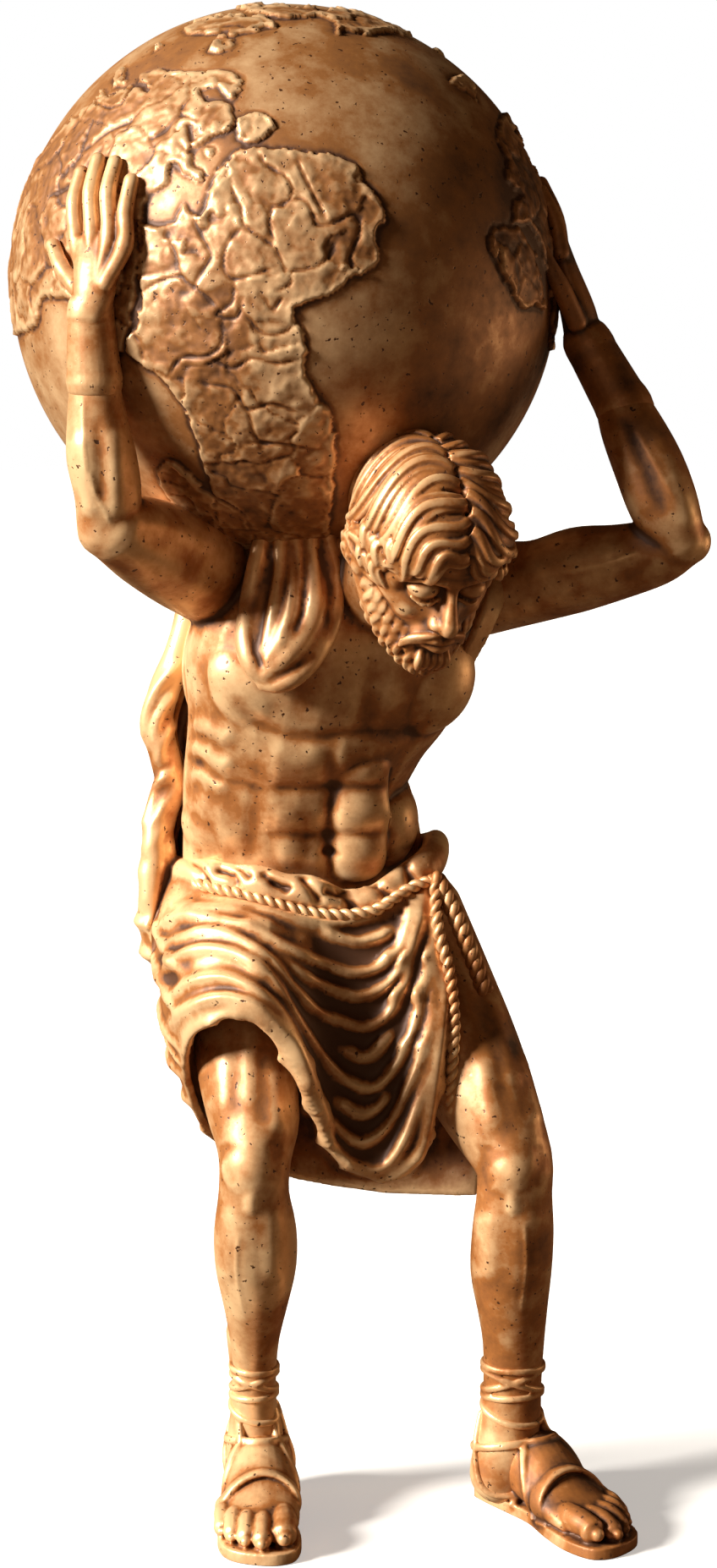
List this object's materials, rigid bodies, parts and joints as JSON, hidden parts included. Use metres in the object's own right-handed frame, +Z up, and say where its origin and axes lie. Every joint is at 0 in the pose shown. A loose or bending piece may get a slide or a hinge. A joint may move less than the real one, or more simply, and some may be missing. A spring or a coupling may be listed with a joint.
{
  "type": "atlas statue",
  "caption": "Standing bearded man in a kilt and sandals, bowed under a large globe that he holds on his shoulders with both hands.",
  "frame": {"origin": "middle of the footprint, on the ground under the soles", "axes": "+Z up from the soles to the top of the globe, -Y towards the viewer of the picture, +X to the viewer's right"},
  "size_m": [0.2682, 0.2202, 0.6],
  "materials": {
    "atlas_figure_bronze": "cast bronze finish with dark brown patina in the hollows",
    "globe_bronze": "satin cast bronze finish with dark brown patina"
  },
  "bodies": {
    "root": {"atlas_figure": "atlas_figure_bronze", "globe": "globe_bronze"}
  },
  "joints": []
}
